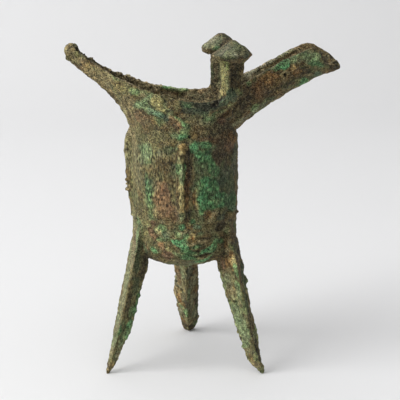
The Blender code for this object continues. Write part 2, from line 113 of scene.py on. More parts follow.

# The patches of corrosion, each laid over the ones before, among them some of painted light
# and shade: highlights on lit crests, slopes and the near rim, shadows beside the nose ridge
# and on the caps, and inner walls lightened against their shade. Each row gives: pigment,
# strength in tenths, middle (across and down), reach along and across its own length, and
# how that length is turned clockwise from level, in degrees.
# a thin pale line along the near rim's edge: painted highlight
# a thin pale line along the near rim's edge: painted highlight
# black to the right of the nose ridge: painted shadow
# caps: the near cap's right side and its underside darker, painted shade; a dark line on the
# far cap along the near cap's left slope, painted shadow
# dark red to the right of the nose ridge: painted shadow
# nose ridge: pale rows along its lit crest, partly painted highlight; dark rows to its right,
# painted shadow, the groove row over a shallow groove in the relief
# pale green under the far rim, lighter than the green there to lift its shade: partly painted
# light
# second layer: the tail's inner wall made pale, partly painted light against its shade; dark
# under the near rim
# the near cap's lit left slope made a paler grey: painted highlight
# the near cap's right side darkened: painted shade
# the near cap's right side darkened: painted shade
# third layer: far rim, its inner wall lightened as partly painted light; nose ridge, its
# crest paler as partly painted highlight; and tail
# third layer: nose ridge, with painted highlight along its lit crest and painted shadow to
# its right; caps and spout
PATCHES = """
# neck
tan 5 128 112 8 16 -25
red 5 143 118 12 7 30
red 6 172 124 10 3.2 40
brown 6 152 124 9 5 35
olive 6 158 130 12 5 10
tan 5 128 100 8 5 40
mint 7.5 146 100 7 3 -30
mint 6 147 107 8 4.5 28
dark_teal 9 165 117 4.5 3.6 60
straw 7.5 157 100 7 6 40
straw 8 163 108 7 3.5 20
mint 5 150 95 7 2.5 12
brown 6 172 103 7 5 0
brown 6 182 113 12 4 12
dark_teal 8 200 106 20 6 6
moss 8 185 104 7 4.5 10
dark_teal 8 196 112 14 4 6
pale_green 8.5 181 122.5 8 2.6 38
green 7 187 126 4 3 30
tan 6 197 126 7 3.5 10
brown 6 198 133 9 4 0
ochre 7 194.5 136.5 3.5 3 0
tan 4 205 135 6 5 0
pale_green 8 184 132 4.5 3 0
bright 8 182.5 136.6 6 3 -10
mint 6 175.5 136 4.5 2.5 0
pit 10 189.3 137.3 1.7 1.6 0
umber 7.5 222 125 8 8 0
dark_teal 6 228 118 8 3.5 -50
brown 5 214 131 5 6 0
umber 5 232 134 4 7 0
grey 4 238 122 9 1.6 -38
# rim
ash 8 203 96 10 5.5 0
ash 7 186 97 12 3 3
light_red 5 209 97 2.5 2 -30
# cup wall, left
straw 5 127 146 2.6 13 0
umber 8 127 186 3 8 0
tan 5.5 135 160 4.5 30 0
straw 3.5 133 185 3 18 0
pale_green 7.5 145 152 5 7 0
pale_green 4.5 148 161 4 4 0
straw 6 155 150 5 5 0
grey 5 160 153 4 5 0
brown 5 165 145 8 4 0
brown 7 164 164 10 9 0
mint 7 174 148.5 6 1.3 0
moss 5 168 150 7 4 0
brown 4.5 158 175 9 8 0
straw 5 152 176 2.5 3 0
teal 6 148 184 5 6 0
pale_green 6 153 193 4.5 5 -20
pale_green 7.5 148.5 201 4 8 5
moss 4 143 190 3 8 0
tan 6 157 186 4 7 0
red 9 165 197 7 13 0
light_red 8 156.5 200 4 9 5
light_red 5 160 186 5 5 0
moss 6 174 172 3.5 8 0
green 6 176.5 170 2.5 6 0
olive 6 174 195 4 12 0
brown 5 171 182 3 8 0
# nose ridge
ochre 8 182 147 3 4.5 0
pale_straw 9 180.8 153 3 3.5 0
pale_straw 7 179 160 2.2 5 0
pale_green 9 180 172 3 8 0
pale_straw 10 181.4 190 3 8 0
pale_straw 10 181.6 203 2.8 11 0
umber 9 187 163 3 19 0
green 7.5 184.5 167 1.6 5 0
groove 9 188.5 176 1.1 28 0
# cup wall, ground tones
moss 7.5 208 176 20 42 0
moss 6 226 190 12 26 0
olive 6 203 224 16 9 0
khaki 4 128 155 5 20 0
khaki 4 131.5 222 3 16 0
brown 6 191 172 3.6 24 0
brown 5 191 204 3.6 12 0
olive 5 138 185 7 40 0
khaki 3.5 137 165 4 24 0
# cup wall, right
bright 8.5 194.5 148 5 6 0
green 9 199 155 5 5 40
green 7.5 206 145.5 7 4 0
green 7 207 154 5 5 0
dark_teal 8 206 155 1.6 3 0
dark_teal 7 200 146 2.5 1.6 0
dark_teal 7 210.5 150 1.6 3 0
green 9.5 206 184 8 7.5 0
bright 5 209 181 5 4 0
green 8 214 188 5 8 0
green 9.5 206 201 9 9 0
bright 6 200.5 198 3 8 0
green 6.5 217 202 8 9 0
moss 6 213 196 5 5 0
dark_teal 6 223 182 6 5 0
green 7 232 202 4.5 10 0
moss 6 231 184 5 9 0
dark_red 8.5 219 155 7 12 0
umber 6 226 165 3 9 0
dark_red 7 222 143 9 6 0
rust_brown 7 213 140.5 5 2 0
umber 6 229 150 4 14 0
slate 7 234.5 162 3 20 0
slate 5 226 172 4 6 0
teal 6 233 208 4 4 0
# foot of the cup
red 5.5 175 214 7 9 0
light_red 7 165 207 7 9 0
brown 4 170 218 8 6 0
black 6 188 214 4.5 7 0
mint 4 182 217 3 5 0
umber 6 196 212 4 7 0
green 8.5 202 210 4 7 0
tan 7 215 212 6 2.4 -50
tan 7 211 219 5 2.4 -70
rust_brown 6 207 215 4 5 0
dark_teal 8 222 217 6 4 -20
brown 7 231 216 5 5 0
umber 8 220 226 9 5 -25
hollow 8 219.5 227.5 4.5 2.6 -25
umber 7 226 222 7 3 -25
green 8 193 221.5 3 2.4 0
teal 7 196.5 227.5 5 3 0
brown 6 185 222 4 4 0
moss 5 200 220 4 6 0
olive 6 149 215 6 7 0
pale_green 5 151 216 3 6 0
straw 6 146 223 5 3 20
pale_green 6 138.5 221 2 4 0
pit 9 136.8 218.5 1.1 2.2 -10
red 8 153 223 3 4 0
red 8 151.5 231.5 3 5 0
light_red 8 155 238 4 3 45
pale_green 9.5 162 227.5 5 4 0
pale_straw 8 158.8 231.5 4.5 2.4 60
teal 6 167 234 4.5 4 0
pale_green 9 160.5 240 4 2 15
pale_green 6 167 240 7 1.6 0
olive 6 172.5 231 5 6 0
tan 4 170 226 5 3 0
bright 7 182 227 3 3.6 0
rust_brown 6 189.5 228 3.6 3 0
moss 5 176 228 3 4 0
khaki 8 181 235 4 3 -30
pale_green 6 178.5 236 3 3 0
bright 9 175.5 241 4 3 0
bright 9.5 182 243.5 7 4 10
bright 9 185 248 4 4 0
ochre 8 192 236.5 4.5 4 0
rust 9.5 192.5 238.5 1.8 2.2 0
tan 8 192 244 4.5 2.6 0
brown 5 197 232 4 3 0
tan 10 202 241.5 6 3 -10
crack 10 207 238.6 7 1.3 -4
mint 5 200.5 233.6 3 2 0
brown 7 210 236 6 2.6 0
olive 6 212 231 4 4 0
green 8.5 214 246 9 3.4 -52
green 7 206 250 9 2.6 -35
green 5 196 247 6 2.4 -15
moss 6 214 238 6 3 -30
umber 6 198 251.5 9 1.3 -18
umber 8 204 255 8 1.5 -10
green 7.5 188 252 8 3.4 10
green 7.5 187 257.5 9 2.6 5
green 6 206 259 8 1.8 -25
grey 6 194 262.5 12 1.6 0
straw 6 144.5 233 3.5 4.5 0
red 6 144 246 4 6 0
bright 8 154.5 251 5 2.6 42
light_red 9 164 247.5 8 4 33
straw 8 171 251 7 2.4 38
mint 7 178 255 5 1.5 30
red 9 167 255.5 6 4 10
umber 8.5 150 256 6 4 20
brown 7 160 257 7 3 25
umber 5 178 260 8 1.2 20
# left leg
tan 8 131.5 243 3 15 0
khaki 8 130 262 13 3.4 100
khaki 8 126 281 12 3.4 103
khaki 9 121.5 303 12 3.4 104
khaki 9 117.5 323 9 3.4 104
straw 7 110.5 357 6 2 104
brown 8 108 369 5 3 104
ochre 4 111 364 4 2 104
mint 8 138 232 1.7 11 0
mint 6 136.4 247 1.5 8 4
moss 8.5 139.5 247 2.6 11 4
moss 8 136.5 264 13 3.6 100
umber 8 144 264 12 3 102
moss 7 136 285 10 3.5 102
umber 7 129.5 300 8 2.4 104
umber 7.5 130 313 7 3 104
green 6 138.5 297 8 2 102
green 7 135 310 6 2.4 104
bright 8 129 325 6 2.6 107
bright 7 127 334 6 2.4 110
crack 9 124 331 5 1.1 105
green 6 120 331 5 1.8 104
umber 7 122 345 5 2 110
moss 6 117 355 7 3 108
# rear leg
pale_green 9 187 313 4 3 60
brown 7 193.5 274 4 10 0
slate 6 189 272 3 8 0
mint 5 188 295 2.6 8 0
brown 7 194 290 3.6 14 0
olive 5 195 284 3 8 0
umber 5 193 300 3 5 0
moss 6 195 312 3.5 9 0
umber 7 190 327 5 2 0
# right leg
umber 8 224 241 6 7 0
brown 6 231 236 6 5 0
umber 8.5 225 250 5 6 0
rust_brown 8 231 256 2.8 6 -8
umber 6 237 246 4 9 0
red 7 222.5 263 3 9 -10
ochre 8 231.8 265 2.4 9 -8
pale_straw 8 234.6 262 1.6 6 -8
pale_green 10 236.6 271 2 9 -12
brown 6 228 268 3 6 -10
ochre 6 232.6 281 2.2 9 -10
pale_green 10 237.6 285 2.2 6 -12
tan 7 233 294 4 5 -10
pale_straw 8 234 298 2.6 2 0
pit 9 236.2 303 1.1 2 0
tan 7 239.5 304 2 4 -10
mint 6 243.5 331 4.6 13 -16
mint 8 246 344 4 5 0
straw 7 250 357 4 6 -10
pit 8 252.3 353.5 1 1.2 0
tan 7 256.5 365 3 5 -30
umber 7 239.5 256 2.2 8 -8
moss 8 243 275 3 13 -12
moss 7 246 299 2.4 14 -10
umber 7 250.5 325 2.6 14 -12
umber 8 257.5 350 2.6 11 -14
# tail
straw 6.5 83 59.5 6 3.4 35
rust_brown 4.5 91 64 6 2.4 35
tan 7 88 71 11 5 38
mint 4.5 115 78 6 2.6 30
tan 6 107 79 9 5 40
ochre 3.5 118 86 7 3.6 30
straw 5 125 91 7 4 30
pale_green 6 133.5 92 6 4 20
tan 7 143 95 3 2.4 0
brown 5 134 97 8 3 30
umber 5.5 74 63 8 1.3 40
umber 6 94 79 14 1.6 40
brown 7 114 97 13 3 47
brown 5 131 121 2.6 8 -25
umber 8 88 58 11 2.4 35
umber 9 99 65.5 9 2.6 37
brown 7 124 76.5 10 3 27
ash 9 130 81 10 4 30
ash 10 146 87 15 4.5 14
umber 5 146 89.5 8 1.4 15
ash 9 162 91 11 3.6 12
tan 5 140 84 9 1 25
black 5 152 89 2 1.2 20
# spout
pale_grey 9 248 76.5 4.4 3.8 -30
pale_grey 8 258 70.5 9 4 -30
grey 8 266 66 12 4 -28
brown 7 306 46.5 10 4 -10
umber 9 262 68.8 14 1 -27
bright 10 285.5 64 4.5 5 0
bright 7 279 67 7 3 -25
moss 6 270 69 7 2.6 -20
rust_brown 8 291 73 6 5 -30
ochre 6.5 303.5 66.5 7 1.8 0
umber 8.5 304.5 69.8 7 1.5 0
tan 6 315 69 3 2.6 0
teal 7 317 74.2 4 2.2 -25
green 8.5 303.5 81 5 2.4 -30
dark_red 7 252 90 11 8 -20
dark_red 6.5 243 102 7 9 0
umber 6 270 94 9 4 -30
rust_brown 7 269 73 4.5 2.6 -20
umber 6 285 84 9 4 -30
brown 6 262 98 8 4 -30
pale_green 5 248.5 82 3 3 0
pale_green 7 254.5 107.5 4.5 3 -60
grey 5 266 104 13 1.5 -32
grey 5 247 117 10 1.8 -37
brown 6 286 91.5 10 1.8 -32
rust_brown 5 300 70 3 8 0
# posts
straw 10 223.6 76 3.8 19 0
pale_straw 9 222.5 93 2.6 3.4 20
umber 8 236 69 8 8 0
brown 5 241 70 3 10 0
black 6 236 77 5 3 0
teal 8 231.5 96 4 7 0
crack 9 233.2 89 1 3.2 -25
crack 7 232.3 81 0.8 5 0
moss 6 228.5 100 3 5 0
umber 7 215 73 4.6 12 0
moss 6 212.3 73 1.6 9 0
tan 5 217 62 2.4 4 0
brown 7 215 91 5 5 0
black 6 212 84 2 3 0
black 5 217 65 2 2 0
# bosses, swells, ridges and creases
ridge 8 150 110.5 18 2 25
crease 8 150 114.8 18 1.6 25
ridge 9 178 121.5 12 2.2 38
crease 5 176.5 126.6 13 1.2 38
ridge 8 220.5 112 9 1.5 -42
crease 9 223 115 10 2 -42
ridge 8 233 103 6 1.4 -38
crease 8 235 106 6 2 -38
crease 9 217 122 2 6 15
ridge 9 206 247.5 11 1.4 -34
crease 10 199 251.3 9 1.1 -18
ridge 9 200 253.3 9 1 -14
crease 10 204 255.2 8 1 -10
ridge 9 203 257.3 9 1 -16
crease 9 155.5 234 9 1.2 55
ridge 8 152 235 8 1.6 55
ridge 8 168 249 14 1.4 34
crease 8 176 251.5 10 1 36
boss 7 162 228.5 5 4 0
boss 6 158.6 231.6 4 2 60
boss 7 181.5 235.5 4 3 0
boss 6 175.5 240 4 3 0
boss 6 183 244 6 3.4 10
boss 6 192 237 5 4.4 0
boss 7 192 244 4 2.2 0
boss 6 202 241 4 2 0
boss 8 215 212.5 5 2 -50
boss 7 211 219 4 2 -70
boss 6 231 215 4 4 0
boss 5 184 131.5 5 3 0
boss 5 173.5 117 4 2.4 50
boss 5 157 101 6 6 0
boss 5 163 109 5 3 20
boss 10 92 57.4 1.6 1.6 0
boss 9 84.5 55.4 1.6 1.3 0
boss 10 139 81 1.8 1.6 0
boss 8 119 72.4 3 1.3 15
boss 8 128 76.6 2.4 1.3 25
boss 10 126 179.6 1.6 1.6 0
boss 9 126.6 189 1.6 1.6 0
boss 9 127.5 183.6 1.2 1.2 0
boss 10 246.8 277 1.6 3.6 -10
boss 9 236.6 211.5 1.5 1.3 0
boss 4 136.6 311 1.3 1.6 0
boss 4 139.8 296 1.2 1.6 0
boss 4 237 332 1.4 1.2 0
boss 4 243.2 347.5 1.4 1.4 0
boss 8 295 66.5 3.4 2.6 25
boss 8 303.5 66.8 6 1.5 4
boss 6 284.5 77.5 4 1.6 0
boss 5 285 64 5 4.4 0
ridge 8 181.5 152 1.6 7 0
ridge 9 181 198 1.4 14 0
boss 6 182.5 146 3 3 0
# swells and bosses along the outline
swell 10 125 117 4 8 -62
swell 10 128 123 4 7 -70
swell 8 128.5 133 4 7 75
swell 8 125.5 148 4 12 0
swell 6 127.5 172 4 12 0
swell 8 128.6 193 3 6 0
swell 10 134 224 4 9 0
swell 9 133 236 4 9 5
swell 8 130.5 252 4 10 8
swell 10 151 257 6 4 10
swell 9 165 261 7 4 12
swell 8 202 263 6 3.4 -8
crease 8 213 259 5 3 -25
swell 6 196 318 3 8 0
crease 7 189 327.5 6 2.4 0
swell 7 132 317 3.4 8 18
swell 10 128 334 3.4 9 20
swell 9 120.5 350 3.4 8 25
swell 7 114 362 3.4 7 30
swell 7 146 270 3 10 12
swell 6 222 283 3 9 -15
swell 9 231 305 3.4 10 -18
swell 9 236 325 3.4 8 -18
swell 7 252 362 5 3.4 35
swell 9 260.5 366 2.4 6 -15
swell 8 255.5 330 3 12 -15
swell 8 238 243 3 10 -10
swell 8 243 262 3 8 -12
swell 8 93 62 5 2.4 35
swell 7 121 72.6 8 2 20
swell 6 97 65 6 2 35
swell 8 258 69 8 3 -28
boss 5 272 61.5 9 3 -28
boss 6 285 54 8 3 -28
swell 9 297 48.5 8 3 -20
swell 8 262 108 12 3 -30
swell 9 284 94 12 3 -30
swell 8 304 83 8 3 -25
swell 7 331 71 5 3 -10
swell 9 242.4 67 2.4 8 0
swell 6 213.6 70 2.4 14 0
# second layer: neck
mint 9 139 105.5 6 4 -20
mint 7 147 109 7 4 35
teal 8 154 112 7 3 33
teal 9 161 115.5 5 3 35
dark_teal 9 166 118.5 3.4 3 60
straw 9 157 101 5.5 5.5 40
moss 5 165 104 2 4 0
umber 6 151 106 4 0.9 55
light_red 5 141 119 6 4 0
tan 5 147 122 8 3 10
olive 6 124 113 14 1.4 62
tan 8 121.5 104 12 1.5 58
khaki 5 128 117 8 1.2 65
brown 6 126 107 12 1.3 58
brown 5 131 116 9 1.2 62
tan 5 134 119 8 1.2 64
dark_teal 9.5 212 106 14 4.5 -12
dark_teal 8 225 98.5 5 3.4 -45
pale_straw 7 217 98.6 5 0.8 -18
straw 8 226 108.6 10 1.3 -43
dark_red 7 226 113 9 2 -43
red 5 222 121 4 3 0
tan 6 186 117 7 2 8
green 4 189 106 4 2 0
# second layer: rim
green 10 182 89.4 9 1.5 3
light_red 8 176 93 12 2 4
# second layer: tail
umber 10 86.6 57 5 2.4 38
umber 10 96 62.6 7 2 35
brown 9 106 70 7 2.4 38
umber 9 112.5 73.4 7 2.6 22
umber 8 121 77.4 7 3.6 22
ash 7 123 79.6 6 2 26
black 6 127 81 3 1.4 20
umber 8 131 83 6 3.4 20
ash 7 133 84.6 5 1.6 20
umber 9 79.6 50.8 3 1.6 50
umber 6 83 64.4 12 1.2 40
moss 6 108 84 7 1.4 42
# second layer: spout
green 6 283 64 5 3.6 -25
mint 7 310 58.5 8 6 10
moss 6 300 53 8 2 -25
green 6 314 63 6 3 -10
pale_grey 6 268 62.6 12 1.6 -29
grey 8 283 54.4 12 1.8 -28
umber 9 282 57.6 10 0.9 -28
umber 8 297 50.4 7 0.9 -24
tan 9 270 65.6 9 0.8 -29
brown 8 303 65.2 7 1.6 2
umber 9 301 68 5 1.2 -5
tan 8 285 74 6 2.6 -5
pit 9 285 75.4 1.6 1.3 0
umber 7 306 72.6 6 1.6 -8
tan 6 309 74.8 5 1.2 -10
# second layer: legs
celadon 8 239 319 5 12 -16
celadon 8 244 336 4.4 8 -17
celadon 6 235 309 4 6 -16
celadon 5 237.6 290 2 8 -14
pit 8 235.4 302 1.6 1.6 0
rust_brown 6 228 262 3 8 -10
pale_green 8 223.6 279 2.6 7 -14
tan 5 231 297 4 2 0
khaki 6 249 352 3.4 5 -20
rust_brown 5 251 358 2 4 -25
celadon 8 113 341 1.8 8 13
celadon 4 119 315 2 12 13
celadon 3.5 127 280 2 16 12
celadon 5 131 250 1.5 10 8
# second layer: foot of the cup
bright 8 213 246 8 2.6 -52
bright 6 206 250 7 2 -35
pale_green 4 200 254.4 6 1 -14
bright 6 203 259.6 8 1.3 -22
# second layer: pale rim
ash 9 117 71.8 6 1.8 25
ash 10 140 82 6 2.2 15
black 4 205 106.5 13 4 0
black 5 219 105 6 4 -30
# second layer: nose ridge
brown 9 177 196 1.8 15 0
umber 4 177.4 204 1.6 7 0
pale_green 6 198 188 3 7 0
dark_red 6 188 180 3 22 0
rust 3 194.6 197 1.8 10 0
ochre 4 196.6 206 1.4 6 0
straw 5 196.4 193 1 7 0
# second layer: cup wall
tan 10 128.6 187.4 2.6 5 0
brown 9 127.6 175 2.6 6 0
brown 6 140 196 3 6 0
moss 6 152 186 3 7 0
umber 5 161 128.6 9 2.6 8
brown 7 166 127.6 6 2.6 15
moss 7 169 112 4.5 2.4 20
olive 7 157 96 5 2.4 10
umber 8 151 258 6 2.6 15
light_red 10 176.4 123.4 9 1.7 38
rust_brown 6 230 137 8 5 0
dark_red 5 215 138 14 4 0
umber 4 222 130 12 5 0
red 5 202 139.6 8 2 0
moss 7 184.6 128 3 2.4 0
brown 7 198 129 6 3 0
moss 7 211 119.4 9 4.4 -20
khaki 4 206 123 5 2.4 0
straw 6 198 237 4 2 0
green 6 186.6 236 4 2.4 0
tan 5 227 251 3 5 -20
rust_brown 6 226 246 3 4 -20
# second layer: edge of the tail
umber 9 88.4 59.4 5 1.1 37
umber 9 113.4 74.8 6 1.3 27
umber 8 123 79.8 6 1.3 27
tan 9 79.4 60.4 4 2.6 40
tan 8 95 78 8 2.6 43
tan 5 108 88 6 2 44
# second layer: end of the spout
umber 8 245 79 5 4 -20
rust_brown 6 258 88 8 5 -28
red 5 262 94 8 3 -30
rust_brown 6 276 78 6 3 -20
bright 4 293 60 5 3 -20
# second layer: far cap
umber 5 218 62 2 3 0
# second layer: ends of the legs
khaki 8 229 285 3 5 -14
khaki 8 193 281 3 8 0
rust_brown 4 195 290 2 4 0
khaki 5 192 300 3 8 0
pale_green 5 131 312 1.8 7 15
pit 6 192 275 1 1.4 0
pit 6 195 300 1 1.4 0
# caps
grey 10 230 50 13 7 0
slate 8 244 51 7 4 25
moss 7 241 45.6 6 2.4 38
moss 8 229 58.8 9 1.2 0
umber 9 228 61.2 11 1.6 0
pale_grey 4 236 55.5 3 1.5 0
grey 10 213 43 10 6 -25
moss 5 215 44.5 7 2.6 -30
pale_straw 4 213 46.6 3 1.4 -20
umber 9 223.4 42.6 9 1.6 -41
black 6 220 46.6 6 1 -41
green 8 215.8 49.4 3.2 1.7 -15
brown 6 205 48 4 3 0
boss 9 205 47.5 3.6 4.5 0
swell 8 229 38 4 3 35
swell 10 238 45 8 3 38
swell 10 247 51 6 3 38
crease 10 250 57.6 4 2.4 0
crease 8 246 59.4 4 2 -25
hollow_out 10 220.5 48.6 10 6 -41
hollow_out 10 220.5 48.6 10 6 -41
# knob of the tail
tan 8 69.5 50 6 7 0
brown 4 70 46 5 3 0
umber 8 76.4 48 2 3.2 20
crease 10 77.6 50 1.6 2 0
boss 7 76.6 47 1.5 1.5 0
tan 4 100 80 16 6 40
pale_straw 3 92 67 6 1.6 40
# lip of the spout
brown 10 328 58 7 8 30
umber 4.5 328 60 5 6 30
brown 9 318 49 7 2.6 35
umber 5 320 51 5 1 35
umber 9 334 66.6 6 2.6 5
black 7 337.5 67 3 2 0
black 9 322.3 57.5 1.2 5 -22
black 8 327 64 4.5 1 20
tan 3.5 331 58 4 1.2 50
mint 8 316 58 4.6 6 -15
green 7.5 319.5 64.5 7 3 10
mint 5 320 66.5 4 1.6 -10
brown 6 326 69.5 8 1.8 -5
crack 8 321.4 56 1 4 -20
crack 7 325 62.6 0.9 3 -35
boss 4 317 58 4 5 0
crease 10 336 60 3 2 50
crease 8 332.6 56.4 3 2 45
rust_brown 5 265 82 14 7 -28
brown 5 285 79 10 4 -20
dark_red 3 256 86 8 6 -28
# second layer: rear leg
khaki 8 178 278 5 12 0
brown 6 177 268 4 5 0
rust_brown 5 179 276 3 8 0
celadon 5 183 274 1.6 9 0
ochre 7 178.6 292 3.4 6 0
rust 5 180.5 297 3 4 30
pale_straw 3.5 183.6 288 1.4 5 0
rust_brown 6 183 303 4 2 50
khaki 7 180.5 309 3.6 4 10
rust_brown 8 183.6 320 3 3 30
umber 7 188 326 6 2 0
swell 10 176 272 5 10 0
swell 10 177.5 292 5 14 3
swell 9 181 308 5 12 10
swell 10 197 320 3 7 0
pit 7 177 281 1.1 1.3 0
pit 7 182 290 1 1.4 0
pit 6 179 308 1.1 1.2 0
pit 6 184 279 1 1.2 0
pit 6 178.6 287 1 1 0
# third layer: all over
green 6 207 163 9 7 25
moss 6 204 168 7 6 0
green 5 214 170 6 6 30
rust_brown 8 185.6 190 1.6 22 0
brown 7 187.4 180 2.4 24 0
ochre 7 183.6 150 1.8 5 0
straw 6 183.4 182 1 4 0
mint 7 129 329 1.8 8 15
khaki 6 120 347 2.4 5 15
celadon 7 115.6 342 1.6 7 15
brown 6 151 122 5 3 0
light_red 6 160 214 7 5 0
tan 6 155 210 2 8 0
khaki 7 162 222 3.4 2.4 0
black 10 215 100.6 8 2.2 -14
black 9 222 98.4 4 2.2 -38
ash 8 165 92.4 6 1.6 10
tan 5 230 271 3 4 -14
celadon 6 223.6 283 2.6 6 -14
celadon 5 240 322 4 14 -16
tan 5 227 249 3 4 0
pale_green 6 213 246 8 2 -52
light_red 4 262 90 10 4 -30
grey 10 222 47.6 11 5 -41
pale_grey 6 222 48.2 8 2 -41
grey 9 210 42 9 5 -38
pale_grey 5 211 40.8 6 2.4 -38
boss 10 206.5 50.8 4 2.4 20
umber 8 227.6 37.4 4 3 38
hollow_out 10 224.6 45.2 9 6 -41
hollow_out 10 217 51 6 5 -41
moss 6 241 50 9 4 30
olive 5 226.6 72 2 14 0
umber 6 214 85 4 6 0
moss 4 219.6 72 1.6 10 0
dark_teal 7 234 98 4 3 -30
pale_grey 10 255 69.6 10 2.2 -32
pale_grey 8 249 73 5 2.6 -32
ridge 9 181.6 172 1.4 12 0
ochre 7 184.6 195 1 10 0
ochre 7 193 241 4 2 0
green 6 220 241 4 3 0
tan 8 74 59 5 3 35
pale_straw 4 74 61 4 2 35
khaki 6 195.6 312 2 6 0
brown 6 133 87 3 2 0
brown 6 146 130 7 3 0
red 5 169 208 3 6 0
khaki 5 183 298 2 4 0
ochre 5 176.6 294 2 5 0
pale_green 9 170 89.2 10 1.8 8
umber 5 200 93 12 5 0
moss 8 219 111.4 6 2.4 -30
rust_brown 6 229 113 6 2.4 -40
red 4 224 122 4 4 0
umber 7 210 99.4 6 1.6 -12
pale_straw 5 212 99 5 0.7 -10
umber 5 191 126 4 3 0
tan 5 284 56.6 8 1.4 -28
pale_grey 10 262 65.6 6 2 -30
umber 4 245 51 6 4 25
tan 7 225 275 3 5 -14
pale_straw 6 166 243 3 1.8 0
moss 5 185 243 4 2.2 0
rust_brown 7 187.2 190 2.2 24 0
tan 5 69 49 4 4 0
swell 10 263 371 2.4 3 0
swell 10 262 368 3 4 0
swell 9 256 332 3 14 -15
mint 4 122 338 1.8 12 15
bright 5 222 200 8 8 0
dark_teal 4 231 200 5 10 0
green 4 148 190 3 14 0
umber 8 107 68.3 6 1.2 30
umber 8 129 76 6 1.3 22
rust_brown 3 198 92 12 5 0
moss 5.5 215 50 4 2.5 0
light_red 6 176 120 6 1.6 35
brown 4 218.5 228 2.5 2 0
grey 3 326 56.5 2.6 3.2 20
umber 3.5 246 96 12 8 -35
umber 3 235 112 12 7 -30
umber 3 300 62 14 2 -25
moss 3.5 288 60 10 3 -28
umber 2.5 226 150 10 14 0
black 9 189 156 1.5 9 0
black 6 189.6 171 1.7 10 0
umber 3.5 186 96 8 3 5
umber 3 156 90 6 3 12
moss 5 217 202 4 4 0
celadon 5 148 153 5 7 0
celadon 4 142 159 4 6 0
umber 4 241 54 5 4 20
moss 5 227 81 1.5 6 0
celadon 3 191 264 4 2 0
moss 4 176 136 3 3 0
celadon 3 226 52 7 4 -20
mint 2.5 240 318 5 22 -15
celadon 2.5 302 57 14 5 -25
slate 5 234 42 4 3 0
umber 6 222 35 4 3 0
umber 5 232 78 2.5 8 0
moss 5 306 54 4 3 0
umber 4 218 211 4 3 0
umber 4 207 219 3.5 2.5 0
umber 4 266 88 5 4 0
umber 5 216 98.4 4 1.4 -20
# third layer: nose ridge, caps and spout
ochre 8 183.2 200 1.1 12 1
pale_straw 6 183.4 197 0.7 7 0
mint 8 182.6 176 1.4 8 0
pale_straw 5 182.8 162 0.9 3 0
ochre 6 182 148 2 3 0
straw 8 78.5 53.5 3 2.5 40
tan 6 157 214 3 3.5 0
ash 3.5 259.5 67 4 1.5 -30
ash 3 175 287 2 8 -10
tan 6 200 239 2.5 2 0
ash 3 206 90 4 3 0
celadon 4 229 278 5 6 -15
lime 5 226.5 63 2 5 0
mint 9 180.6 177 1.6 6 0
pale_green 9 183.6 177 1.2 7 0
mint 5 146 150 9 7 0
dark_teal 5 222 101 4 2 -30
tan 7 157 214 3 4 0
umber 4 300 76 4 2.5 -20
moss 6 236 43 4 2.5 20
moss 5 223 36 4 2.5 0
mint 8 182.2 172 1.6 4 0
pale_straw 5 156 213 2.5 3 0
pale_grey 5 260 66.5 4 1.3 -30
red 6 229 146 5 6 0
umber 5 190.5 164 1.4 12 0
ochre 7 293.5 67.5 2.5 3 -30
light_red 5 298 70 3 3 0
pit 10 285 74.6 1.4 1.3 0
black 9 303 73 1.8 1.3 -20
black 8 308 72 1.4 1 0
black 7 302 69 4 0.8 -10
moss 5 303 66.5 5 1.6 0
slate 7 248 57 4.5 2.5 -35
black 5 321 55 3 0.8 75
black 5 325 61.5 4 0.8 45
# third layer: far rim, nose ridge and tail
green 7 167 86.6 7 1.2 8
bright 5 167.5 88.2 6 1.3 8
mint 7 180 89.6 8 1.4 4
mint 6 179 88.3 8 0.9 4
grey 3.5 196 93.5 13 5 0
light_red 3.5 200 90 6 3 0
ash 3.5 259 67 5 2 28
celadon 4.5 182 176 2 6 0
moss 5 222 101 4 4 0
ash 3 108 366 3 5 0
grey 5 169 90 5 1.5 8
dark_red 4 176 93 3 2.5 60
celadon 8 181 174 1.3 9 -3
pale_straw 8 181 198 1.3 9 0
celadon 5 178.5 159 1.2 4 -10
red 4 187 184 2.5 9 0
ash 3.5 117 357 2.5 6 -20
ash 3 111 352 2.5 6 -20
light_red 5 83 61 4 2.5 42
ash 2.5 83 61 4 2.5 42
dark_teal 7 222 101 4.5 4 0
celadon 5 176 89.6 6 1.3 5
celadon 3.5 183 172 2 4 0
red 3.5 78 67 6 2 38
ochre 3 86 65 5 3 38
umber 6 115 71 6 1.4 20
umber 6 126 75 6 1.4 22
umber 5 137 79.5 6 1.3 18
# third layer: lip, and green under the rim
umber 8 324.5 57.8 7.5 1.1 56
umber 6 330.5 56.5 7 1.2 44
pale_green 3 303 57 11 3.5 5
moss 4 222 103 4 2.5 -20
black 6 219.5 100.5 3.5 1.2 -25
pale_green 5 211 118 7 2.2 -22
mint 4.5 203 114.5 5 1.6 -5
bright 4 214 113 4 1.5 -30
"""

# How a patch is laid on the solid: the rings of pixels that are tried for its middle, its
# own pixel first, the share of its reach at which more slopes are read for their mean, how
# near (a share of its reach, and millimetres more) and how alike such a slope must be to
# count, and the fewest pixels that a millimetre of the surface is taken to fill.
SEARCH_RINGS = (0.0, 0.7, 1.4, 2.1, 3.0, 4.0)
SLOPE_SHARE = 0.5
SLOPE_REACH, SLOPE_SPARE, SLOPE_ALIKE = 0.8, 2.0, 0.5
LEAST_PIXELS = 0.75
EIGHTHS = [step * math.pi / 4 for step in range(8)]

# A patch's edge: how far noise moves it, at most and as a share of the patch's lesser
# reach, and how wide it fades, at least and as a share of that reach.
RAGGED_MOST, RAGGED_SHARE = 0.8, 0.36
FADE_LEAST, FADE_SHARE, SWELL_FADE = 0.18, 0.14, 0.7

# The fine mesh, in millimetres, and how many triangles are kept.
VOXEL = 0.55
SOFTEN_ROUNDS = 3
TRIANGLES = 190000

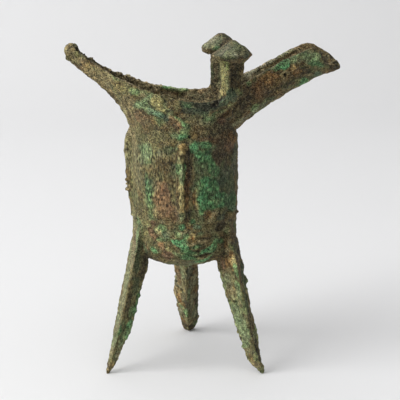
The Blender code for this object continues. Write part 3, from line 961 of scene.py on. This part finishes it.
# How far the relief stands out or goes in, in millimetres.
SWELLS = 0.24
LUMPS = 0.32
CRUST_GRAIN = 0.34
CRUST_LUMPS = 0.20
PITS = 0.60
SMALL_PITS = 0.40
RIM_TEETH = 0.22
RIM_TEETH_TO_TAIL = 0.33
MOST_CALM = 0.75

# The material's noises, in features to the metre.
FINE_GRAIN = 1500.0
FLECKS = 1400.0
BUMPS = 1000.0
TINTS = 830.0
GLOSS = 700.0
CRUSTS = 520.0
BUMP_HEIGHT = 1.4

# The first, second and result sockets of a Mix node, for numbers and for vectors.
MIX_FLOAT = (2, 3, 0)
MIX_VECTOR = (4, 5, 1)

# The pale sweep, in metres: its front edge, the radius of its bend, where the bend
# starts, its top, and half its width.
SWEEP_FRONT, SWEEP_RADIUS, SWEEP_BEND, SWEEP_TOP, SWEEP_SIDE = -2.5, 0.6, 0.9, 3.0, 4.0
SWEEP_STEPS = 12

# The lamps: name, place and width in metres, and power in watts; what they aim at; and
# the strength of the light from all round.
LAMPS = (
    ("key", (-1.9, -0.75, 1.3), 2.0, 46.5),
    ("overhead", (-0.3, -0.45, 2.4), 3.6, 38.0),
)
LAMP_AIM = Vector((0, 0, 0.09))
WORLD_STRENGTH = 0.2

# The photograph's camera.
CAMERA_AZIMUTH = -5.8
CAMERA_ELEVATION = 12.9
CAMERA_DISTANCE = 650.0
CAMERA_TARGET = Vector((8.9, 0.0, 96.0))
FOCAL_PIXELS = 1124.0
FRAME_PIXELS = 400.0

# Odd numbers that scatter a cell's place, and how many bits of the result are kept.
SCATTER = (374761393, 668265263, 2147483647, 1274126177, 2246822519)
LOW_32 = 0xFFFFFFFF
LOW_24 = 0xFFFFFF


def cells(points, seed):
    """A number from 0 to 1 for each whole-numbered cell."""
    grid = points.astype(np.int64)
    mixed = sum(grid[:, k] * SCATTER[k] for k in range(3)) + seed * SCATTER[3]
    mixed = (mixed ^ (mixed >> 13)) & LOW_32
    mixed = (mixed * SCATTER[3]) & LOW_32
    mixed = mixed ^ (mixed >> 16)
    mixed = (mixed * SCATTER[4]) & LOW_32
    mixed = mixed ^ (mixed >> 13)
    return (mixed & LOW_24) / float(LOW_24 + 1)


def noise(points, size, seed):
    """Smooth noise from -1 to 1 with features of the given size."""
    scaled = points / size + seed * 17.31
    low = np.floor(scaled)
    part = scaled - low
    part = part * part * part * (part * (part * 6 - 15) + 10)
    total = np.zeros(len(points))
    for corner in np.ndindex(2, 2, 2):
        near = np.abs(1 - np.array(corner) - part)
        weight = near[:, 0] * near[:, 1] * near[:, 2]
        total += weight * cells(low + corner, seed)
    return total * 2 - 1


def layered(points, size, seed, layers=3):
    """Several sizes of noise, each half as large and half as strong as the one before."""
    total = np.zeros(len(points))
    strength = 0.0
    for layer in range(layers):
        total += noise(points, size / 2 ** layer, seed + layer) / 2 ** layer
        strength += 1 / 2 ** layer
    return total / strength * 1.6


def pits(points, size, seed, share):
    """Round spots, 1 in the middle and 0 outside, in the given share of the cells."""
    scaled = points / size
    base = np.floor(scaled)
    best = np.zeros(len(points))
    for corner in np.ndindex(3, 3, 3):
        cell = base + (np.array(corner) - 1)
        spot = np.stack([cell[:, k] + cells(cell, seed + 3 * k) for k in range(3)], 1)
        radius = 0.25 + 0.45 * cells(cell, seed + 11)
        there = cells(cell, seed + 17) < share
        distance = np.linalg.norm(scaled - spot, axis=1)
        best = np.maximum(best, there * np.clip(1 - distance / radius, 0, 1))
    return best


def smooth_step(low, high, value):
    """0 below low, 1 above high, smooth between."""
    share = np.clip((value - low) / (high - low), 0, 1)
    return share * share * (3 - 2 * share)


def search_tree(points):
    """A tree that finds the points near a place."""
    tree = kdtree.KDTree(len(points))
    for index, point in enumerate(points):
        tree.insert(point, index)
    tree.balance()
    return tree


def arrays(mesh):
    """Vertex places in millimetres about the cup's axis, and their normals."""
    count = len(mesh.vertices)
    places = np.empty(count * 3, np.float32)
    mesh.vertices.foreach_get("co", places)
    normals = np.empty(count * 3, np.float32)
    mesh.vertex_normals.foreach_get("vector", normals)
    places = places.reshape(-1, 3).astype(float) / MM - np.array(CUP_AXIS)
    return places, normals.reshape(-1, 3).astype(float)


def put_places(mesh, places):
    """Write vertex places back, kept inside the solid's own box."""
    world = (places + np.array(CUP_AXIS)) * MM
    low, high = (np.array(corner) for corner in cad_box)
    mesh.vertices.foreach_set("co", np.clip(world, low, high).astype(np.float32).ravel())
    mesh.update()


def evaluated_mesh(obj):
    """The object's mesh with its modifiers applied."""
    evaluated = obj.evaluated_get(bpy.context.evaluated_depsgraph_get())
    return bpy.data.meshes.new_from_object(evaluated)


def fine_copy():
    """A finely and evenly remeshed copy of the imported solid."""
    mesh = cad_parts["jue_vessel"].data.copy()
    mesh.materials.clear()
    vessel = bpy.data.objects.new("jue_vessel_bronze", mesh)
    bpy.context.scene.collection.objects.link(vessel)
    remesh = vessel.modifiers.new("remesh", "REMESH")
    remesh.mode = "VOXEL"
    remesh.voxel_size = VOXEL * MM
    remesh.use_smooth_shade = True
    smooth = vessel.modifiers.new("soften", "SMOOTH")
    smooth.factor = 0.5
    smooth.iterations = SOFTEN_ROUNDS
    fine = evaluated_mesh(vessel)
    vessel.modifiers.clear()
    vessel.data = fine
    return vessel


def inner_side(places, normals):
    """1 on the inside of the cup, spout and tail, 0 on the outside."""
    x, y, z = places.T
    reach = np.clip((np.abs(x) - 12) / 25, 0, 1)
    height = z * (1 - reach) + (RIM + 30 * reach) * reach
    centre = np.stack([x * reach, np.zeros_like(x), height], 1)
    facing = np.einsum("ij,ij->i", normals, centre - places)
    floor = 62
    return smooth_step(0.0, 4.0, facing) * (z > floor)


def camera_axes():
    """The directions back to the camera, to its right, and up in its picture."""
    azimuth = math.radians(CAMERA_AZIMUTH)
    elevation = math.radians(CAMERA_ELEVATION)
    back = Vector((
        math.sin(azimuth) * math.cos(elevation),
        -math.cos(azimuth) * math.cos(elevation),
        math.sin(elevation),
    ))
    right = Vector((0, 0, 1)).cross(back).normalized()
    return back, right, back.cross(right)


def tangents(normal):
    """The level direction along a surface, and the one that runs up it."""
    level = np.array((-normal[1], normal[0], 0.0))
    level /= np.linalg.norm(level) + 1e-9
    return level, np.cross(normal, level)


class Picture:
    """The photograph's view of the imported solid, to lay what it shows on the solid."""

    def __init__(self):
        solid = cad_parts["jue_vessel"].data
        places, _ = arrays(solid)
        faces = [tuple(face.vertices) for face in solid.polygons]
        self.tree = BVHTree.FromPolygons(places.tolist(), faces)
        self.back, self.right, self.up = (np.array(axis) for axis in camera_axes())
        self.eye = np.array(CAMERA_TARGET) + self.back * CAMERA_DISTANCE

    def cast(self, x, y):
        """What the pixel shows: a place on the solid and the way it faces, or nothing."""
        aside, down = x - FRAME_PIXELS / 2, y - FRAME_PIXELS / 2
        ray = (self.right * aside - self.up * down) / FOCAL_PIXELS - self.back
        place, normal, _, _ = self.tree.ray_cast(self.eye, ray)
        if place is None:
            return None
        normal = np.array(normal)
        return np.array(place), -normal if normal @ ray > 0 else normal

    def nearest(self, x, y):
        """What the pixel shows or, where it misses, one of those around it."""
        for ring in SEARCH_RINGS:
            for angle in EIGHTHS:
                met = self.cast(x + ring * math.cos(angle), y + ring * math.sin(angle))
                if met:
                    return met

    def lay(self, x, y, along, across, turn):
        """A patch as it lies on the solid: its middle, reaches and turn, rounded."""
        middle, normal = self.nearest(x, y)
        reach = SLOPE_REACH * max(along, across) + SLOPE_SPARE
        normals = [normal]
        for angle in EIGHTHS:
            aside, down = along * math.cos(angle), across * math.sin(angle)
            met = self.cast(x + SLOPE_SHARE * aside, y + SLOPE_SHARE * down)
            if met and np.linalg.norm(met[0] - middle) < reach:
                if met[1] @ normal > SLOPE_ALIKE:
                    normals.append(met[1])
        normal = np.mean(normals, 0)
        axes = np.array(tangents(normal / np.linalg.norm(normal)))
        scale = FOCAL_PIXELS / ((self.eye - middle) @ self.back)
        to_pixels = scale * np.array((self.right, -self.up)) @ axes.T
        length = np.linalg.solve(to_pixels, (math.cos(turn), math.sin(turn)))
        length /= np.linalg.norm(length)
        width = np.array((-length[1], length[0]))
        along /= max(np.linalg.norm(to_pixels @ length), LEAST_PIXELS)
        across /= max(np.linalg.norm(to_pixels @ width), LEAST_PIXELS)
        turn = math.radians(round(math.degrees(math.atan2(length[1], length[0]))))
        return np.round(middle, 1), round(along, 1), round(across, 1), turn


def patch_rows():
    """The patches on the solid, as (pigment, strength, middle, along, across, turn)."""
    picture = Picture()
    for line in PATCHES.splitlines():
        if line and not line.startswith("#"):
            name, *numbers = line.split()
            tenths, x, y, along, across, turn = (float(number) for number in numbers)
            yield name, tenths / 10, *picture.lay(x, y, along, across, math.radians(turn))


def base_coat(places, inside):
    """The ground that the patches lie on: olive on the lit side, browner to the right."""
    x, y, z = places.T
    to_right = x / 45 * smooth_step(45, 70, z)
    share = smooth_step(-0.35, 0.75, layered(places, 9.0, 80) + to_right)[:, None]
    olive, brown = (np.array(PIGMENTS[name][0]) for name in ("olive", "brown"))
    colour = (1 - share) * olive + share * brown
    hidden = smooth_step(0.0, 14.0, y)
    for name, size, seed, level in (
        ("tan", 7.0, 90, 0.30), ("moss", 8.0, 94, 0.35), ("rust_brown", 6.0, 98, 0.42),
        ("pale_green", 9.0, 102, 0.46), ("green", 10.0, 106, 0.42), ("umber", 7.0, 110, 0.38),
    ):
        amount = smooth_step(level, level + 0.22, layered(places, size, seed))
        amount = amount * (0.30 + 0.55 * hidden)
        colour += amount[:, None] * (np.array(PIGMENTS[name][0]) - colour)
    lining = (0.75 * inside)[:, None]
    # Painted light: the lining on the far wall, towards the tail, made up to half again as
    # light to lift the shade that wall stands in.
    far = (1 + 0.5 * smooth_step(-4, 10, y) * smooth_step(18, 2, x))[:, None]
    return colour + lining * (far * np.array(LINING) - colour)


def patina_and_painted_light(places, normals, inside):
    """Colour, height and crustiness at each point: the corrosion, with the painted light and
    shade that some patches and the rim's inside carry.
    """
    colour = base_coat(places, inside)
    height = np.zeros(len(places))
    crust = np.full(len(places), 0.6)
    ragged = layered(places, 3.6, 60, 2)
    tree = search_tree(places)
    for name, strength, middle, along, across, turn in patch_rows():
        low, high = min(along, across), max(along, across)
        near = np.array([index for _, index, _ in tree.find_range(middle, 1.45 * high + 2)])
        if not len(near):
            continue
        normal = normals[tree.find(middle)[1]]
        level, upward = tangents(normal)
        first = math.cos(turn) * level + math.sin(turn) * upward
        second = -math.sin(turn) * level + math.cos(turn) * upward
        offset = places[near] - middle
        reach = np.sqrt(
            (offset @ first / along) ** 2
            + (offset @ second / across) ** 2
            + (offset @ normal / (3 + 0.5 * high)) ** 2
        )
        edge = (reach - 1) * low + min(RAGGED_MOST, RAGGED_SHARE * low) * ragged[near]
        soft = FADE_LEAST + FADE_SHARE * low
        if name in ("swell", "hollow_out"):
            soft = SWELL_FADE * low
        weight = strength ** 0.7 * smooth_step(soft, -soft, edge)
        weight = weight * smooth_step(0.10, 0.50, normals[near] @ normal)
        tint, rise, rough = PIGMENTS[name]
        height[near] += rise * weight
        if tint:
            colour[near] += weight[:, None] * (np.array(tint) - colour[near])
            crust[near] += weight * (rough - crust[near])
    x, y, z = places.T
    # Painted light: the top 16 mm of the far wall's inside, towards the tail, made up to 30%
    # lighter to lift the shade it stands in.
    rim_inside_painted_light = inside * smooth_step(RIM - 16, RIM - 8, z) * smooth_step(14, 0, x) * (y > 0)
    return colour * (1 + 0.3 * rim_inside_painted_light)[:, None], height, crust


def relief(places, normals, inside, height, crust):
    """How far each point stands out, in millimetres, and how deep its pits are."""
    swell = layered(places, 9.0, 1, 2)
    lumps = layered(places, 3.2, 5, 3)
    grain = layered(places, 1.7, 9, 2)
    shake = [layered(places, 2.6, seed, 2) for seed in (20, 23, 26)]
    shaken = places + 0.8 * np.stack(shake, 1)
    holes = pits(shaken, 3.6, 30, 0.12)
    small_holes = pits(shaken, 1.9, 50, 0.40)
    out = SWELLS * swell + LUMPS * lumps + height
    out += crust * (CRUST_GRAIN * grain + CRUST_LUMPS * lumps)
    out -= PITS * holes ** 0.7
    out -= SMALL_PITS * small_holes
    x, y, z = places.T
    rim = smooth_step(0.3, 0.8, normals[:, 2]) * (z > RIM - 8) * (x < 34)
    rim = rim * ((x < 2) | (z < RIM + 4))
    teeth = RIM_TEETH + RIM_TEETH_TO_TAIL * smooth_step(-4, -14, x)
    out += teeth * rim * layered(places, 2.4, 40, 2)
    caps = smooth_step(174, 178, z) * (np.abs(x - 20) < 16)
    spout = smooth_step(52, 60, x)
    cup_left = (x < -15) * (z < 150)
    calm = MOST_CALM * caps + 0.45 * spout + 0.4 * cup_left
    out -= np.clip(calm, 0, MOST_CALM) * (out - height)
    return out * (1 - 0.2 * inside), np.clip(0.7 * holes + 0.6 * small_holes, 0, 1)


def drop_crumbs(mesh):
    """Keep the one large body, without any crumb that the relief has cut free."""
    body = bmesh.new()
    body.from_mesh(mesh)
    for vert in body.verts:
        vert.tag = False
    parts = []
    for start in body.verts:
        if start.tag:
            continue
        start.tag = True
        part = [start]
        for vert in part:
            for edge in vert.link_edges:
                other = edge.other_vert(vert)
                if not other.tag:
                    other.tag = True
                    part.append(other)
        parts.append(part)
    parts.sort(key=len)
    for part in parts[:-1]:
        bmesh.ops.delete(body, geom=part, context="VERTS")
    body.to_mesh(mesh)
    body.free()


def corrode(vessel):
    """Lay the relief over the fine mesh, thin it out to the triangle limit, and colour it."""
    places, normals = arrays(vessel.data)
    inside = inner_side(places, normals)
    colour, height, crust = patina_and_painted_light(places, normals, inside)
    out, depth = relief(places, normals, inside, height, crust)
    moved = places + normals * out[:, None]
    put_places(vessel.data, moved)
    triangles = sum(len(polygon.vertices) - 2 for polygon in vessel.data.polygons)
    thin = vessel.modifiers.new("thin", "DECIMATE")
    thin.ratio = TRIANGLES / triangles
    final = evaluated_mesh(vessel)
    vessel.modifiers.clear()
    drop_crumbs(final)
    vessel.data = final
    tree = search_tree(moved)
    kept, _ = arrays(final)
    nearest = np.array([tree.find(place)[1] for place in kept])
    for name, kind, field, values in (
        ("patina_and_painted_light", "FLOAT_VECTOR", "vector",
         speckle(colour[nearest], places[nearest], out[nearest], depth[nearest])),
        ("crust", "FLOAT", "value", crust[nearest]),
        ("drawn", "FLOAT", "value", drawn_share(kept)),
    ):
        layer = final.attributes.new(name, kind, "POINT")
        layer.data.foreach_set(field, values.astype(np.float32).ravel())


def speckle(colour, places, out, depth):
    """Break the colour up into grains: light flecks, hollows darkened by dirt and painted
    shade, rises made paler by wear and painted light.
    """
    drawn = places * (1.0, 1.0, 0.22)
    left = smooth_step(-8, -20, places[:, 0]) * smooth_step(50, 66, places[:, 2])
    tone = 1 + 0.24 * layered(places, 1.6, 120, 2) + 0.12 * layered(places, 4.5, 124, 2)
    tone += 0.22 * left * layered(drawn, 1.4, 136, 2)
    colour = colour * np.clip(tone, 0.30, 2.0)[:, None]
    hue = layered(places, 2.0, 140, 2)[:, None]
    colour = colour * (1 + hue * np.array((0.05, -0.015, -0.045)))
    flecks = 0.34 * smooth_step(0.42, 0.75, layered(places, 1.3, 128, 2))
    colour = colour + flecks[:, None] * (colour * 0.8 + np.array(FLECK) - colour)
    # Pits and sunken relief darkened: partly dirt and oxide lodged in the hollows, partly
    # painted shade in them.
    dark = 0.42 * depth + 0.30 * smooth_step(0.0, -0.8, out)
    colour = colour * (1 - np.clip(dark, 0, 0.85))[:, None]
    # Raised relief made up to 28% paler: partly wear, partly painted light on the rises.
    wear_and_painted_light = 1.0 + 0.28 * smooth_step(0.15, 0.8, out)
    return np.clip(colour * np.array(PAINT_GAIN) * wear_and_painted_light[:, None], 0.004, 0.7)


def drawn_share(places):
    """How far the grain runs up and down: on the cup's wall, and less on the legs."""
    x, y, z = places.T
    wall = smooth_step(94, 102, z) * smooth_step(136, 128, z)
    return np.clip(wall * (0.80 - x / 90) + 0.5 * smooth_step(70, 60, z), 0, 1)


def make_bronze():
    """Corroded bronze: the colours of the corrosion and of the painted light and shade,
    broken up further by a fine grain.
    """
    material = bpy.data.materials.new("corroded_bronze")
    material.use_nodes = True
    nodes, links = material.node_tree.nodes, material.node_tree.links
    shader = nodes["Principled BSDF"]
    shader.inputs["Specular IOR Level"].default_value = 0.25
    place = nodes.new("ShaderNodeTexCoord").outputs["Object"]

    def put(value, socket):
        if isinstance(value, bpy.types.NodeSocket):
            links.new(value, socket)
        else:
            socket.default_value = value

    def make(kind, **inputs):
        """A new node with its inputs set or linked. In their names _ stands for a space."""
        node = nodes.new("ShaderNode" + kind)
        for name, value in inputs.items():
            put(value, node.inputs[name.replace("_", " ")])
        return node

    def grain(scale, detail, vector=place):
        node = make("TexNoise", Scale=scale, Detail=detail, Roughness=0.6, Vector=vector)
        return node.outputs["Fac"]

    def spread(value, low, high, to_low, to_high):
        """The value, with the range from low to high mapped to another range."""
        node = make("MapRange", Value=value, From_Min=low, From_Max=high)
        put(to_low, node.inputs["To Min"])
        put(to_high, node.inputs["To Max"])
        return node.outputs["Result"]

    def read(name, output):
        node = make("Attribute")
        node.attribute_name = name
        return node.outputs[output]

    def blend(amount, first, second, sockets=MIX_FLOAT):
        node = make("Mix", Factor=amount)
        node.data_type = "FLOAT" if sockets == MIX_FLOAT else "VECTOR"
        put(first, node.inputs[sockets[0]])
        put(second, node.inputs[sockets[1]])
        return node.outputs[sockets[2]]

    def combine(kind, first, second):
        node = make("VectorMath")
        node.operation = kind
        put(first, node.inputs[0])
        put(second, node.inputs["Scale" if kind == "SCALE" else 1])
        return node.outputs["Vector"]

    crust = read("crust", "Fac")
    even = grain(FINE_GRAIN, 1.0)
    upright = grain(FINE_GRAIN, 1.0, combine("MULTIPLY", place, (1.0, 1.0, 0.3)))
    fine = blend(read("drawn", "Fac"), even, upright)
    warm, cool = (1.06, 0.99, 0.94), (0.95, 1.01, 1.03)
    tint = blend(spread(grain(TINTS, 2.0), 0.35, 0.65, 0.0, 1.0), warm, cool, MIX_VECTOR)
    paint = combine("MULTIPLY", read("patina_and_painted_light", "Vector"), tint)
    paint = combine("SCALE", paint, spread(fine, 0.32, 0.68, 0.06, 1.94))

    lumps = make("TexVoronoi", Scale=CRUSTS, Vector=place)
    lumps.feature = "SMOOTH_F1"
    put(0.3, lumps.inputs["Smoothness"])
    gaps = spread(lumps.outputs["Distance"], 0.30, 0.75, 1.16, 0.45)
    paint = combine("SCALE", paint, blend(spread(crust, 0.30, 0.80, 0.45, 1.0), 1.0, gaps))
    none, pale = (0.0, 0.0, 0.0), (0.085, 0.080, 0.064)
    flecks = blend(spread(grain(FLECKS, 1.0), 0.58, 0.70, 0.0, 1.0), none, pale, MIX_VECTOR)
    put(combine("ADD", paint, flecks), shader.inputs["Base Color"])
    put(spread(grain(GLOSS, 2.0), 0.30, 0.70, 0.62, 0.95), shader.inputs["Roughness"])

    bump = make("Bump", Distance=BUMP_HEIGHT * MM, Height=grain(BUMPS, 3.0))
    put(spread(crust, 0.0, 1.0, 0.35, 1.0), bump.inputs["Strength"])
    put(bump.outputs["Normal"], shader.inputs["Normal"])
    return material


def make_stage():
    """A pale sweep and soft light from the upper left."""
    scene = bpy.context.scene
    mesh = bpy.data.meshes.new("sweep")
    profile = [(SWEEP_FRONT, 0.0)]
    for step in range(SWEEP_STEPS + 1):
        turn = math.pi / 2 * step / SWEEP_STEPS
        profile.append((
            SWEEP_BEND + SWEEP_RADIUS * math.sin(turn),
            SWEEP_RADIUS - SWEEP_RADIUS * math.cos(turn),
        ))
    profile.append((SWEEP_BEND + SWEEP_RADIUS, SWEEP_TOP))
    verts = [(side, y, z) for y, z in profile for side in (-SWEEP_SIDE, SWEEP_SIDE)]
    faces = [(2 * i, 2 * i + 1, 2 * i + 3, 2 * i + 2) for i in range(len(profile) - 1)]
    mesh.from_pydata(verts, [], faces)
    mesh.shade_smooth()
    sweep = bpy.data.objects.new("sweep", mesh)
    material = bpy.data.materials.new("pale_paper")
    material.use_nodes = True
    shader = material.node_tree.nodes["Principled BSDF"]
    shader.inputs["Base Color"].default_value = (0.80, 0.80, 0.805, 1.0)
    shader.inputs["Roughness"].default_value = 0.9
    mesh.materials.append(material)
    scene.collection.objects.link(sweep)
    sweep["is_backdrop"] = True

    world = bpy.data.worlds.new("studio")
    world.use_nodes = True
    background = world.node_tree.nodes["Background"]
    background.inputs["Color"].default_value = (1.0, 1.0, 1.0, 1.0)
    background.inputs["Strength"].default_value = WORLD_STRENGTH
    scene.world = world
    scene.view_settings.view_transform = "Standard"
    for name, place, size, power in LAMPS:
        light = bpy.data.lights.new(name, "AREA")
        light.shape = "DISK"
        light.size = size
        light.energy = power
        lamp = bpy.data.objects.new(name, light)
        lamp.location = place
        lamp.rotation_mode = "QUATERNION"
        lamp.rotation_quaternion = (LAMP_AIM - lamp.location).to_track_quat("-Z", "Y")
        scene.collection.objects.link(lamp)


def make_camera():
    """The photograph's viewpoint."""
    back = camera_axes()[0]
    data = bpy.data.cameras.new("camera")
    data.sensor_width = 36.0
    data.lens = FOCAL_PIXELS / FRAME_PIXELS * data.sensor_width
    data.clip_start = 0.05
    data.clip_end = 20.0
    camera = bpy.data.objects.new("camera", data)
    camera.location = (CAMERA_TARGET + CUP_AXIS + back * CAMERA_DISTANCE) * MM
    camera.rotation_mode = "QUATERNION"
    camera.rotation_quaternion = (-back).to_track_quat("-Z", "Y")
    bpy.context.scene.collection.objects.link(camera)
    bpy.context.scene.camera = camera


vessel = fine_copy()
corrode(vessel)
vessel.data.materials.append(make_bronze())
vessel.data.shade_smooth()
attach(vessel, "root")
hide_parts("jue_vessel")
make_stage()
make_camera()

[[list(corner) for corner in box] for box in (cad_box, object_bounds())]
